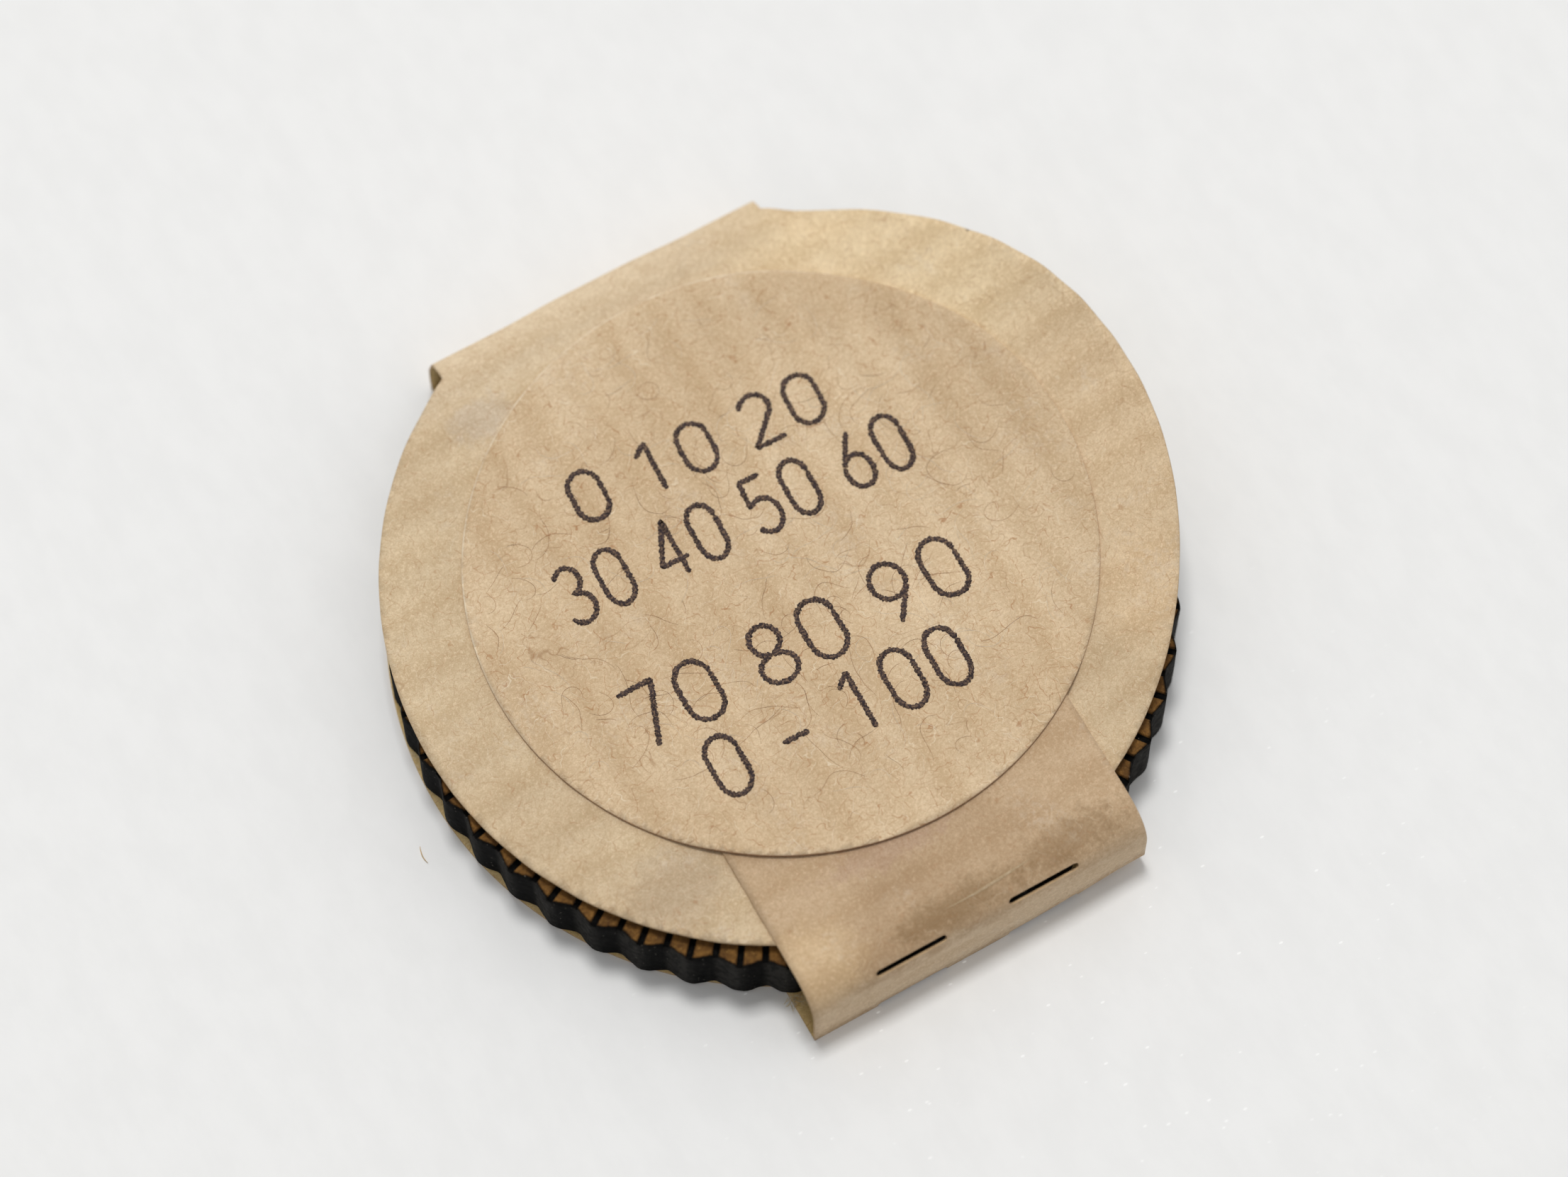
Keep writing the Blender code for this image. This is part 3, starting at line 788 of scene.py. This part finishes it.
# Painted shade, sheen and light on the flap and riser, and one darker patch; columns as above
FLAP_PAINTED_LIGHT_AND_PATCHES = (
    # Painted shade in the crease's bend beside the slits, in the first two
    (-0.8, SLIT_CREASE - 0.9, 3, 0.8, (146, 120, 86), 0.6),
    (4.6, SLIT_CREASE - 1.1, 2.8, 0.9, (152, 124, 90), 0.6),
    # Painted sheen
    (-7, SLIT_CREASE - 1.2, 2.6, 2.2, (222, 194, 154), 0.6),
    # Painted light: the riser painted lighter in place of the light that reaches it
    (0.0, FRONT_Y - 1.4, 14, 1.7, (222, 200, 170), 0.9),
    # A darker patch
    (-2, SLIT_CREASE - 4.4, 3, 0.9, (188, 158, 136), 0.5),
)


def strip(low, high):
    return [(-STRIP_HALF, low), (STRIP_HALF, low), (STRIP_HALF, high), (-STRIP_HALF, high)]


def flap_outline():
    end = FRONT_Y - FRONT_PATH.distances[-2] - (FLAP_END_Y - FRONT_PATH.points[-2].x)
    inner, rounded = STRIP_HALF - FLAP_CORNER, end + FLAP_CORNER
    return (
        [(STRIP_HALF, SLIT_CREASE), (-STRIP_HALF, SLIT_CREASE)]
        + arc((-inner, rounded), FLAP_CORNER, pi, 1.5 * pi)
        + arc((inner, rounded), FLAP_CORNER, 1.5 * pi, tau)
    )


def build_sleeve():
    # The sheets' inner side: the paper's own tone, painted lighter to stand in for light shining through
    # the thin sheet
    inner = paper_material("kraft_inner", (236, 208, 150), (216, 188, 128), 6)
    edge = cut_edge_material("kraft_edge", (202, 172, 132), 2)

    def look(name, light, dark, seed, **more):
        return paper_material(name, light, dark, seed, **more), inner, edge

    spine = look("kraft_spine", (204, 178, 138), (188, 162, 122), 2)
    top = look(
        "kraft_top", (218, 196, 162), (206, 183, 150), 3, polish=0.2, fibre=0.75, patches=TOP_PAINTED_LIGHT_AND_PATCHES,
    )
    flap = look(
        "kraft_flap", (203, 176, 143), (182, 154, 122), 5, polish=0.2, fibre=0.45, patches=FLAP_PAINTED_LIGHT_AND_PATCHES,
    )
    slits = crease_slits(SLIT_CREASE)
    bend = steps_between(REAR_CREASE + FOLD_REACH, REAR_Y + REAR_PATH.distances[-2] + 0.2, 0.08)
    riser_low, riser_high = SLIT_CREASE, FRONT_Y - FOLD_REACH
    beside_slits = (0.02, 0.05)
    riser_rows = steps_between(riser_low, riser_high, 0.1) + [SLIT_CREASE + gap for gap in beside_slits]
    flap_rows = steps_between(FRONT_Y - FRONT_PATH.distances[-2] - 0.1, SLIT_CREASE, 0.08)
    flap_rows += [SLIT_CREASE - gap for gap in beside_slits]

    panels = (
        ("base", "base_panel", sheet(
            "base_sheet", base_outline(), place_base,
            look("kraft_base", (212, 184, 140), (196, 166, 122), 1), (0, 0, -1), spacing=0.6,
        )),
        ("spine", "spine_panel", sheet(
            "spine_sheet", strip(REAR_Y + FOLD_REACH, REAR_CREASE - FOLD_REACH),
            place_rear, spine, (0, 1, 0),
        )),
        ("lid", "top_panel", sheet(
            "top_sheet", top_outline(), place_rear, top, (0, 0, 1), fine_v=bend,
        )),
        ("riser", "tab_riser", sheet(
            "riser_sheet", strip(riser_low, riser_high), place_front, flap, (0, -1, 0),
            fine_v=riser_rows, slits=slits,
        )),
        ("lid", "tab_flap", sheet(
            "flap_sheet", flap_outline(), place_front, flap, (0, 0, 1), fine_v=flap_rows, slits=slits,
        )),
    )
    for body, node, piece in panels:
        settle(piece, body, "kraft_paper", node)

    def place_near_rear(u, v):
        return place_base(u, v) if v < REAR_Y else place_rear(u, v)

    def place_near_front(u, v):
        return place_base(u, v) if v > FRONT_Y else place_front(u, v)

    folds = (
        ("rear_lower_fold", REAR_Y, place_near_rear, "base", "spine", spine, (0, 1, -1)),
        ("rear_upper_fold", REAR_CREASE, place_rear, "spine", "lid", spine, (0, 1, 0)),
        ("front_lower_fold", FRONT_Y, place_near_front, "base", "riser", flap, (0, -1, -1)),
    )
    for name, crease, place, first, second, finish, outward in folds:
        low, high = crease - FOLD_REACH, crease + FOLD_REACH
        fold = sheet(
            name, strip(low, high), place, finish, outward,
            fine_v=steps_between(low, high, 0.05), slits=crease_slits(crease),
        )
        start, end = place(0, low), place(0, high)
        if crease == FRONT_Y:
            # Level and narrow at the front crease; start and end are not used further
            end = Vector((0, crease, BASE_LEVEL))
            start = end + Vector((0, FRONT_BEND, 0))
        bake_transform(fold)


# ---- label

def build_label():
    face = paper_material(
        "label_paper", (222, 198, 164), (209, 183, 148), 8, rib_along_u=False, polish=0.15, fibre=1.2,
        # The rim colour is a painted highlight on the label's rear left edge
        rim=(LABEL_CENTRE, LABEL_RADIUS, (250, 234, 206)),
    )
    back = paper_material("label_back", (206, 186, 150), (188, 166, 130), 9)
    # The label edge's rear colour is a painted highlight
    edge = cut_edge_material("label_edge", (176, 128, 92), 5, rear=(244, 226, 194))
    film = film_material()

    def film_surface(x, y):
        return label_surface(x, y, -(LABEL_PAPER / 2 + 0.012))

    for name, radius, surface, looks, thickness, spacing, slot, node in (
        ("label_sheet", LABEL_RADIUS, label_surface, (face, back, edge), LABEL_PAPER, 0.3,
         "label_paper", "label_face"),
        ("label_glue", LABEL_RADIUS - 0.03, film_surface, (film, film, film), 0.03, 0.6,
         "adhesive_film", "label_adhesive"),
    ):
        outline = arc(LABEL_CENTRE, radius, 0, tau)[:-1]
        piece = sheet(name, outline, surface, looks, (0, 0, 1), thickness=thickness, spacing=spacing)
        settle(piece, "lid", slot, node)


def ellipse(x, y, across, high, start, end, steps=14):
    turns = [radians(start + (end - start) * index / steps) for index in range(steps + 1)]
    return [(x + across * cos(turn), y + high * sin(turn)) for turn in turns]


DIGIT_WIDTH = 0.56
DIGITS = {
    "0": [
        ellipse(0.28, 0.7, 0.25, 0.3, 0, 180) + ellipse(0.28, 0.3, 0.25, 0.3, 180, 360) + [(0.53, 0.7)],
    ],
    "1": [[(0.1, 0.78), (0.32, 1), (0.32, 0)]],
    "2": [ellipse(0.27, 0.73, 0.24, 0.27, 165, -35) + [(0.03, 0), (0.53, 0)]],
    "3": [ellipse(0.26, 0.76, 0.22, 0.24, 155, -90) + ellipse(0.26, 0.26, 0.26, 0.26, 90, -155)],
    "4": [[(0.4, 0), (0.4, 1), (0.02, 0.28), (0.55, 0.28)]],
    "5": [[(0.5, 1), (0.1, 1), (0.07, 0.55)] + ellipse(0.27, 0.31, 0.26, 0.31, 125, -150)],
    "6": [ellipse(0.28, 0.3, 0.25, 0.3, 150, 510) + [(0.4, 1)]],
    "7": [[(0.03, 1), (0.54, 1), (0.2, 0)]],
    "8": [ellipse(0.28, 0.75, 0.21, 0.25, -90, 270), ellipse(0.28, 0.25, 0.26, 0.25, 90, 450)],
    "9": [ellipse(0.28, 0.7, 0.25, 0.3, -30, 330) + [(0.16, 0)]],
    "-": [[(0.06, 0.42), (0.5, 0.42)]],
    " ": [],
}


def text_strokes(text, height, gap=0.2, space=0.34):
    """Strokes of a row of characters as (x, y) lists, and the row's width."""
    strokes, x = [], 0
    for character in text:
        for stroke in DIGITS[character]:
            strokes.append([((x + px) * height, py * height) for px, py in stroke])
        x += space if character == " " else DIGIT_WIDTH + gap
    return strokes, (x - gap) * height


def resampled(stroke, spacing):
    """Evenly spaced points along a polyline."""
    points = [Vector(point) for point in stroke]
    result, carry = [points[0]], 0
    for a, b in zip(points, points[1:]):
        length = (b - a).length
        distance = spacing - carry
        while distance < length:
            result.append(a + (b - a) * (distance / length))
            distance += spacing
        carry = length - (distance - spacing)
    result.append(points[-1])
    return result


def ribbon(bm, layer, stroke, width, place, rng, raggedness, spacing=0.05):
    """Flat printed stroke with rough edges and rounded ends."""
    points = resampled(stroke, spacing)
    rows = []
    for index, point in enumerate(points):
        ahead = points[min(index + 1, len(points) - 1)] - points[max(index - 1, 0)]
        across = Vector((-ahead.y, ahead.x)).normalized()
        from_end = min(index, len(points) - 1 - index) * spacing
        taper = min(1, 0.45 + from_end / (width * 0.5) * 0.55)
        row = []
        for side in (1, -1):
            reach = width / 2 * taper * (1 + raggedness * rng.uniform(-1, 1))
            spot = point + across * side * reach
            vertex = bm.verts.new(place(spot.x, spot.y))
            vertex[layer] = (spot.x, spot.y, 0)
            row.append(vertex)
        rows.append(row)
    for (a, b), (c, d) in zip(rows, rows[1:]):
        bm.faces.new((a, b, d, c))


# Rows of figures: text, left end, baseline height, row width, figure height, slope in degrees
PRINT_ROWS = (
    ("0 10 20", -5.6, 6.25, 11.2, 2.25, -3.4),
    ("30 40 50 60", -8.05, 2.5, 15.7, 2.55, -1.9),
    ("70 80 90", -8.25, -3.62, 15.1, 2.7, -1.2),
    ("0 - 100", -6.5, -7.02, 11.4, 2.65, -1.8),
)
PRINT_WIDTH = 0.225
PRINT_LIFT = LABEL_PAPER / 2 + 0.012


def printed(name, rows, rng, width, raggedness, ink, thickness, body, slot):
    """Figures of rough strokes. rows gives the strokes of each row and the place of its points."""
    bm = bmesh.new()
    layer = bm.verts.layers.float_vector.new("flat")
    for strokes, place in rows:
        for stroke in strokes:
            ribbon(bm, layer, stroke, width, place, rng, raggedness)
    piece = add_piece(name, bm, [ink])
    turn_outward(piece, (0, 0, 1))
    thicken(piece, thickness)
    settle(piece, body, slot)


def label_rows():
    for text, left, base, width, height, slope in PRINT_ROWS:
        strokes, natural = text_strokes(text, height)
        stretch, turn = width / natural, radians(slope)

        def place(x, y):
            px = left + x * cos(turn) - y * sin(turn)
            py = base + x * sin(turn) + y * cos(turn)
            return label_surface(px, py, PRINT_LIFT)

        yield [[(x * stretch, y) for x, y in stroke] for stroke in strokes], place


def build_print():
    ink = ink_material("label_ink", (50, 42, 43), (132, 108, 88))
    printed("label_print", label_rows(), Random(5), PRINT_WIDTH, 0.34, ink, 0.006, "lid", "label_ink")


# ---- wheel

def scallop(angle):
    """1 on a peak of the rim, 0 in a valley."""
    return 0.5 + 0.5 * cos(SCALLOPS * (angle - FIRST_PEAK))


# Across a mark: place in half widths, and share of its depth
MARK_PROFILE = ((-1.45, 0), (-1, 0.4), (-0.78, 1), (0, 1), (0.78, 1), (1, 0.4), (1.45, 0))


def wheel_columns():
    """Angles round the wheel, closer together at the edges of each mark."""
    half = MARK_HALF / MEAN_RADIUS
    step = tau / MARKS
    offsets = [-0.5, -0.4, -0.3, -0.21]
    columns = []
    for index in range(MARKS):
        middle = FIRST_PEAK + index * step
        for share in offsets:
            columns.append((middle + share * step, index, 0))
        for share, depth in MARK_PROFILE:
            columns.append((middle + share * half, index, depth))
        for share in offsets[:0:-1]:
            columns.append((middle - share * step, index, 0))
    return columns


def rough_length(index):
    """Length of a mark as burnt: a little uneven."""
    every = next(every for every in (10, 5, 1) if index % every == 0)
    return MARK_LENGTHS[every] + 0.06 * noise.noise(Vector((index * 3.7, 0.5, 0.5)))


def wheel_ring(column, ring):
    """Place, char with some painted shade, and painted sheen of one point of the wheel's closed
    cross-section.
    """
    angle, index, groove = column
    kind, value = ring
    rim = MEAN_RADIUS + PEAK_TO_VALLEY * (scallop(angle) ** PEAK_SHARPNESS - 0.5)
    # Painted highlight on each scallop's peak
    peak = 0.3 * scallop(angle) ** 8
    if kind == "top":
        share = smooth((rough_length(index) - value) / 0.12 + 0.5) * groove
        # Burn at the rim's arris, plus a faint painted shade further in from the rim, under the sheet's
        # edge
        burn_halo_and_shade = exp(-((value / 0.13) ** 2)) + 0.2 * smooth((value - 0.8) / 0.9)
        return rim - value, WHEEL_TOP - MARK_DEPTH * share, max(share * 1.3, burn_halo_and_shade), 0
    if kind == "wall":
        z = WHEEL_BOTTOM + value * (WHEEL_TOP - WHEEL_BOTTOM)
        if value > 0.95:
            z -= MARK_DEPTH * groove
        ripple = 0.035 * noise.noise(Vector((angle * 40, value * 1.8, 2)))
        bulge = ARRIS if 0.03 < value < 0.97 else 0
        # Painted light: one flank of each scallop is lighter, as if lit from that side
        lit_flank = smooth(0.5 - 0.9 * sin(SCALLOPS * (angle - FIRST_PEAK)))
        return rim - ARRIS + bulge + ripple, z, 1.2, max(peak, 0.55 * lit_flank)
    radius, z = value
    return radius, z, 0, 0


def wheel_rings():
    top_seat = WHEEL_TOP - SEAT_DEPTH
    low_seat = WHEEL_BOTTOM + SEAT_DEPTH
    inner = [
        (BORE_RADIUS, top_seat), (SEAT_RADIUS, top_seat), (SEAT_RADIUS, WHEEL_TOP - 0.03),
        (SEAT_RADIUS + 0.03, WHEEL_TOP),
    ]
    inner += [(radius, WHEEL_TOP) for radius in (4.5, 7, 9.5, 11.5)]
    rings = [("fixed", place) for place in inner]
    distances = [3.4, 2.9]
    for length in (2.6, 1.85, 1.15):
        distances += [length + step for step in (0.14, 0.07, 0, -0.07, -0.14)]
    distances += [0.7, 0.42, 0.28, 0.18, 0.1, ARRIS]
    rings += [("top", value) for value in distances]
    rings += [("wall", value) for value in (0.985, 0.95, 0.85, 0.65, 0.45, 0.25, 0.1, 0.04, 0)]
    outer = [(radius, WHEEL_BOTTOM) for radius in (15.2, 12, 7, SEAT_RADIUS)]
    outer += [(SEAT_RADIUS, low_seat), (BORE_RADIUS, low_seat)]
    return rings + [("fixed", place) for place in outer]


def build_wheel():
    columns, rings = wheel_columns(), wheel_rings()
    bm = bmesh.new()
    char_and_shade = bm.verts.layers.float.new("char_and_shade")
    # Painted sheen on the wall
    painted_sheen = bm.verts.layers.float.new("painted_sheen")
    grid = []
    for column in columns:
        angle = column[0]
        row = []
        for ring in rings:
            # Char with a faint painted shade, and painted sheen
            radius, z, burnt, sheen_share = wheel_ring(column, ring)
            vertex = bm.verts.new((radius * cos(angle), radius * sin(angle), z))
            vertex[char_and_shade] = burnt
            vertex[painted_sheen] = sheen_share
            row.append(vertex)
        grid.append(row)
    skin(bm, grid)
    settle(add_piece("wheel_board", bm, [board_material()], 42), "wheel", "fibreboard", "wheel_disc")


def wheel_rows():
    """Figures beside every tenth mark, read from outside the wheel."""
    for ten in range(10):
        strokes, width = text_strokes(str(ten * 10), FIGURE_HEIGHT, gap=0.16)
        turn = FIRST_PEAK + ten * tau / 10 - pi / 2

        def place(x, y):
            px, py = x - width / 2, y + FIGURE_BASELINE
            z = WHEEL_TOP + FIGURE_LIFT
            return Vector((px * cos(turn) - py * sin(turn), px * sin(turn) + py * cos(turn), z))

        yield strokes, place


def build_wheel_figures():
    ink = ink_material("burnt_figure", (30, 24, 20), (96, 66, 40))
    printed("wheel_figures", wheel_rows(), Random(9), 0.2, 0.1, ink, FIGURE_LIFT, "wheel", "fibreboard")


def turned(name, profile, finish, node, steps=128):
    """Solid of revolution about Z from a closed (radius, Z) outline, whose corners are rounded."""
    points = rounded_path(profile + profile[:2], 0.05, 3, 0.4)[1:-1]
    bm = bmesh.new()
    turns = [tau * index / steps for index in range(steps)]
    skin(bm, [[bm.verts.new((r * cos(turn), r * sin(turn), z)) for r, z in points] for turn in turns])
    settle(add_piece(name, bm, [finish], 60), "hub", "brass_plate", node)


def build_hub():
    brass = brass_material()
    low, high = corners("hub_eyelet")
    lip_top, flange_low = low.z + LIP_THICKNESS, high.z - FLANGE_THICKNESS
    turned("eyelet", [
        (BARREL_INNER, low.z), (LIP_RADIUS, low.z), (LIP_RADIUS, lip_top), (BARREL_OUTER, lip_top),
        (BARREL_OUTER, flange_low), (high.x, flange_low), (high.x, high.z), (BARREL_INNER, high.z),
    ], brass, "hub_eyelet")
    low, high = corners("hub_washer")
    inner = BARREL_OUTER + 0.01
    turned("washer", [
        (inner, low.z), (high.x, low.z), (high.x, high.z), (inner, high.z),
    ], brass, "hub_washer")


# ---- loose fibres

def hair(bm, start, heading, length, bend, radius, surface, rng, clearance):
    """Curly fibre lying on a surface: a thin five-sided tube along a wandering line."""
    spacing, sides = 0.08, 5
    x, y = start
    curve = bend * rng.uniform(-1, 1)
    rings = []
    steps = max(3, int(length / spacing))
    for index in range(steps + 1):
        centre = surface(x, y) + Vector((0, 0, clearance))
        across = Vector((-sin(heading), cos(heading), 0))
        thick = radius * (0.45 + 0.55 * sin(pi * index / steps))
        turns = [tau * side / sides for side in range(sides)]
        rings.append([
            bm.verts.new(centre + across * thick * cos(turn) + Vector((0, 0, thick * sin(turn))))
            for turn in turns
        ])
        curve += rng.uniform(-1, 1) * bend * 0.35
        curve *= 0.94
        heading += curve * spacing
        x += cos(heading) * spacing
        y += sin(heading) * spacing
    for here, after in zip(rings, rings[1:]):
        for index in range(sides):
            other = (index + 1) % sides
            bm.faces.new((here[index], here[other], after[other], after[index]))
    bm.faces.new(rings[0][::-1])
    bm.faces.new(rings[-1])


def build_hairs():
    rng = Random(21)
    bend, radius = 2.4, 0.0085

    def surface(x, y):
        return label_surface(x, y, LABEL_PAPER / 2)

    (cx, cy), reach = LABEL_CENTRE, LABEL_RADIUS - 0.7
    for look, colour, count in (("brown", (160, 116, 76), 150), ("pale", (238, 224, 200), 110)):
        bm = bmesh.new()
        for _ in range(count):
            distance, turn = reach * rng.random() ** 0.5, rng.uniform(0, tau)
            length = rng.uniform(0.6, 3)
            near = (cx + distance * cos(turn), cy + distance * sin(turn))
            safe = max(0.4, min(length, LABEL_RADIUS - 0.1 - distance + 0.6))
            heading = turn + pi + rng.uniform(-1.2, 1.2)
            hair(bm, near, heading, safe, bend, radius, surface, rng, radius * 0.3)
        piece = add_piece(f"label_fibres_{look}", bm, [hair_material(f"fibre_{look}", colour)])
        settle(piece, "lid", "label_paper")


def build_frayed_corner():
    """Torn fibres where the base disc meets the strip, and one stray fibre on the floor."""
    rng = Random(4)
    bm = bmesh.new()
    for _ in range(16):
        spot = (-7.75 + rng.uniform(-0.18, 0.18), -14.35 + rng.uniform(-0.15, 0.15))
        hair(bm, spot, rng.uniform(3.4, 5.2), rng.uniform(0.25, 0.6), 6, 0.016,
             lambda x, y: Vector((x, y, BASE_LEVEL)), rng, rng.uniform(0.08, 0.3))
    piece = add_piece("frayed_fibres", bm, [hair_material("fibre_frayed", (240, 224, 190))])
    settle(piece, "base", "kraft_paper")
    bm = bmesh.new()
    hair(bm, (-17.45, -1.25), -2, 0.85, 1.2, 0.02, lambda x, y: Vector((x, y, 0)), rng, 0.04)
    add_piece("stray_fibre", bm, [hair_material("fibre_stray", (206, 168, 104))])


# ---- stage

FLOOR_LEVEL = -0.005
FLOOR_REACH = 1500
FLOOR_GLOW = 0.03
GLINT_GLOW = 0.16
# Even studio light, and how much stronger it is from the rear right
SKY_LEVEL = 0.5
SKY_SIDE = (0.38, 0.42, 0)
KEY_POWER = 4.5
KEY_SIZE = 0.22
KEY_PLACE = Vector((0.06, 0.23, 0.95))
KEY_COLOUR = (1, 0.995, 0.985)
KEY_TARGET = Vector((0, 0, 0.002))


def build_floor():
    net = Net("floor")
    place = net.millimetres()
    drawn_out = net.scaled(place, 1, 0.5, 1)
    tone = net.clouds(drawn_out, (0.7, 3, 0.6), 0.3, 0.7)
    colour = net.mix(tone, (240, 240, 239), (237, 237, 236))
    from_front = net.length(net.moved(place, -3, 17, 0))
    glints = net.specks(net.scaled(place, 0.45, 1, 1), 2.3, 0.12, 0.4)
    glints = net.times(glints, net.band(from_front, 22, 8))
    grain = net.noise(drawn_out, 1.6, 3, 0.6)
    finish = net.finished(
        Base_Color=colour, Roughness=0.75, Normal=net.bump(grain, 0.012), Specular_IOR_Level=0.2,
        Emission_Color=colour, Emission_Strength=net.math("MULTIPLY_ADD", glints, GLINT_GLOW, FLOOR_GLOW),
    )
    bm = bmesh.new()
    square = ((-1, -1), (1, -1), (1, 1), (-1, 1))
    bm.faces.new([bm.verts.new((x * FLOOR_REACH, y * FLOOR_REACH, FLOOR_LEVEL)) for x, y in square])
    add_piece("floor", bm, [finish])


def build_lights():
    net = Net("studio", "worlds", "Background")
    side = net.vector("DOT_PRODUCT", net.add("TexCoord").outputs["Generated"], SKY_SIDE)[1]
    level = net.math("MULTIPLY_ADD", side, SKY_LEVEL, SKY_LEVEL)
    bpy.context.scene.world = net.finished(Color=(1, 1, 1, 1), Strength=level)
    key = bpy.data.lights.new("key", "AREA")
    key.energy, key.size, key.color = KEY_POWER, KEY_SIZE, KEY_COLOUR
    light = add_object("key", key)
    light.location = KEY_PLACE
    light.rotation_euler = (KEY_TARGET - KEY_PLACE).to_track_quat("-Z", "Y").to_euler()


# Camera: azimuth, elevation and roll in degrees, and its place along its own axes in millimetres
CAMERA_AZIMUTH = -29.5
CAMERA_ELEVATION = 66.6
CAMERA_ROLL = -0.4
CAMERA_BACK, CAMERA_RIGHT, CAMERA_UP = 207.2, 0.089, 1.377
CAMERA_LENS = 116.4
CAMERA_F_STOP = 26
FOCUS = (0, -4, 3.8)


def build_camera():
    turn, height, roll = map(radians, (CAMERA_AZIMUTH, CAMERA_ELEVATION, CAMERA_ROLL))
    back = Vector((sin(turn) * cos(height), -cos(turn) * cos(height), sin(height)))
    level_right = Vector((cos(turn), sin(turn), 0))
    level_up = back.cross(level_right)
    right = level_right * cos(roll) + level_up * sin(roll)
    up = level_up * cos(roll) - level_right * sin(roll)
    data = bpy.data.cameras.new("camera")
    data.lens = CAMERA_LENS
    data.clip_start, data.clip_end = 0.01, 10
    camera = add_object("camera", data)
    camera.matrix_world = Matrix((right, up, back)).transposed().to_4x4()
    camera.matrix_world.translation = (back * CAMERA_BACK + right * CAMERA_RIGHT + up * CAMERA_UP) * MM
    focus = add_object("focus", None)
    focus.location = Vector(FOCUS) * MM
    data.dof.use_dof = True
    data.dof.focus_object = focus
    data.dof.aperture_fstop = CAMERA_F_STOP
    bpy.context.scene.camera = camera


build_sleeve()
build_label()
build_print()
build_wheel()
build_wheel_figures()
build_hub()
build_hairs()
build_frayed_corner()
build_floor()
build_lights()
build_camera()
bpy.context.scene.view_settings.view_transform = "Standard"
